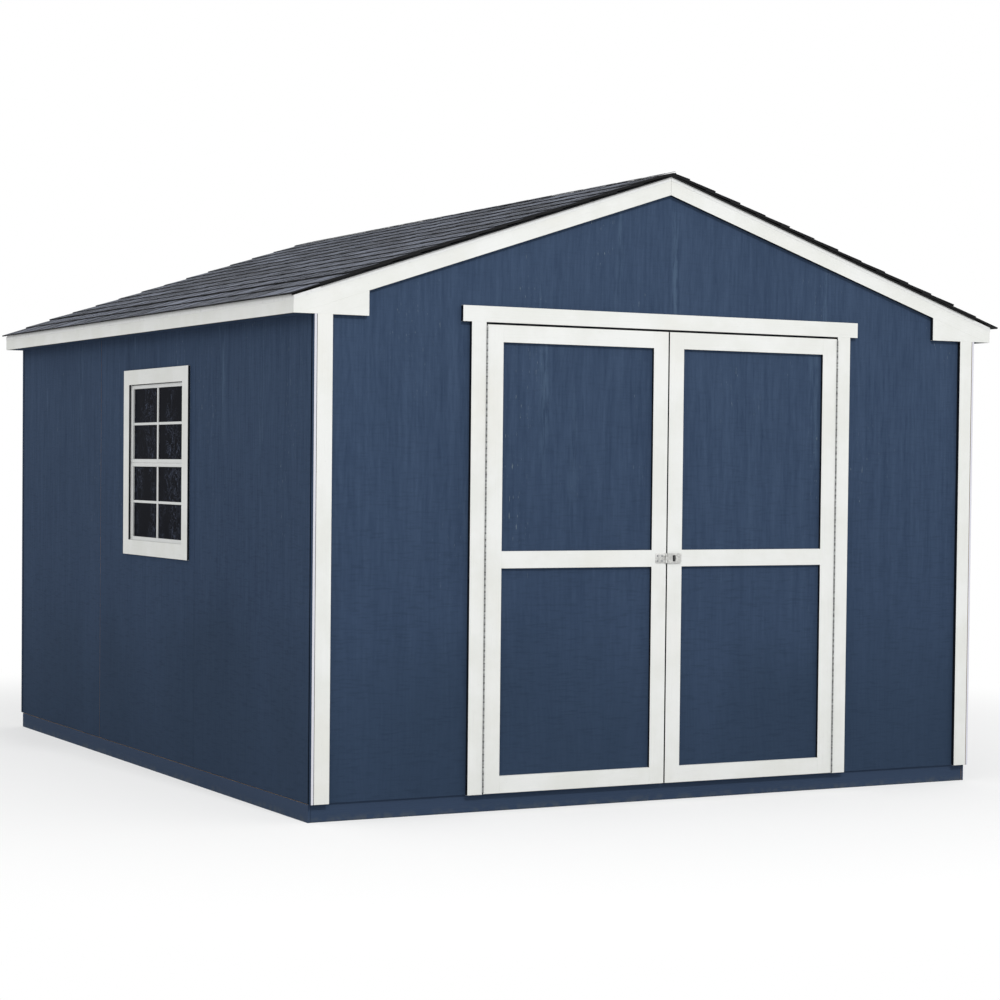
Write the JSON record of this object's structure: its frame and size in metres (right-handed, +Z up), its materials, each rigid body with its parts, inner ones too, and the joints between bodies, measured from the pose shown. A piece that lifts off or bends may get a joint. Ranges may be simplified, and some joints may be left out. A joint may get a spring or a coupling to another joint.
{
  "type": "wooden garden shed",
  "caption": "Gable-roofed timber storage shed with panelled walls, white trim, hinged double doors closed by a hasp, a side window and a shingle roof.",
  "frame": {"origin": "on the ground under the centre of the floor", "axes": "+X to the right seen from the door front, +Y to the back, +Z up"},
  "size_m": [3.28, 3.7275, 2.4911],
  "materials": {
    "navy_paint": "satin exterior paint on embossed wood panel",
    "white_paint": "satin exterior paint on wood trim",
    "raw_lumber": "planed softwood, unfinished",
    "plywood": "unfinished sheathing",
    "shingle": "mineral granules on bitumen",
    "galvanised": "dull zinc",
    "white_metal": "baked white coat",
    "white_vinyl": "white frame",
    "window_glass": "clear pane"
  },
  "bodies": {
    "shed": {"floor_frame": "navy_paint", "floor_deck": "plywood", "wall_plates": "raw_lumber", "wall_studs": "raw_lumber", "front_left_wall": "navy_paint", "front_right_wall": "navy_paint", "front_gable_wall": "navy_paint", "back_wall": "navy_paint", "left_wall": "navy_paint", "right_wall": "navy_paint", "corner_trims": "white_paint", "doorway_side_trims": "white_paint", "doorway_header_trim": "white_paint", "rake_boards": "white_paint", "eave_returns": "white_paint", "fascia_boards": "white_paint", "soffit_boards": "navy_paint", "roof_rafters": "raw_lumber", "truss_chords": "raw_lumber", "truss_gussets": "plywood", "gable_studs": "raw_lumber", "left_roof_boards": "plywood", "right_roof_boards": "plywood", "roof_drip_edges": "white_metal", "left_shingles": "shingle", "right_shingles": "shingle", "ridge_cap": "shingle", "window_trim": "white_paint", "window_frame": "white_vinyl", "window_sashes": "white_vinyl", "window_glass": "window_glass", "jamb_hinge_leaves": "galvanised"},
    "left_door": {"left_door_panel": "navy_paint", "left_door_stiles": "white_paint", "left_door_rails": "white_paint", "left_door_frame": "raw_lumber", "left_door_hinge_leaf": "galvanised", "hasp_leaf": "galvanised"},
    "right_door": {"right_door_panel": "navy_paint", "right_door_stiles": "white_paint", "right_door_rails": "white_paint", "right_door_frame": "raw_lumber", "right_door_hinge_leaf": "galvanised", "hasp_staple": "galvanised"},
    "hasp": {"hasp_strap": "galvanised"}
  },
  "joints": [
    {"name": "left_door_hinge", "type": "hinge", "parent": "shed", "child": "left_door", "pos_m": [-0.8128, -1.8505, 0.9715], "axis": [0, 0, -1], "range_deg": [0, 170]},
    {"name": "right_door_hinge", "type": "hinge", "parent": "shed", "child": "right_door", "pos_m": [0.8128, -1.8505, 0.9715], "axis": [0, 0, 1], "range_deg": [0, 170]},
    {"name": "hasp_hinge", "type": "hinge", "parent": "left_door", "child": "hasp", "pos_m": [-0.005, -1.8525, 0.9695], "axis": [0, 0, -1], "range_deg": [0, 170]}
  ]
}
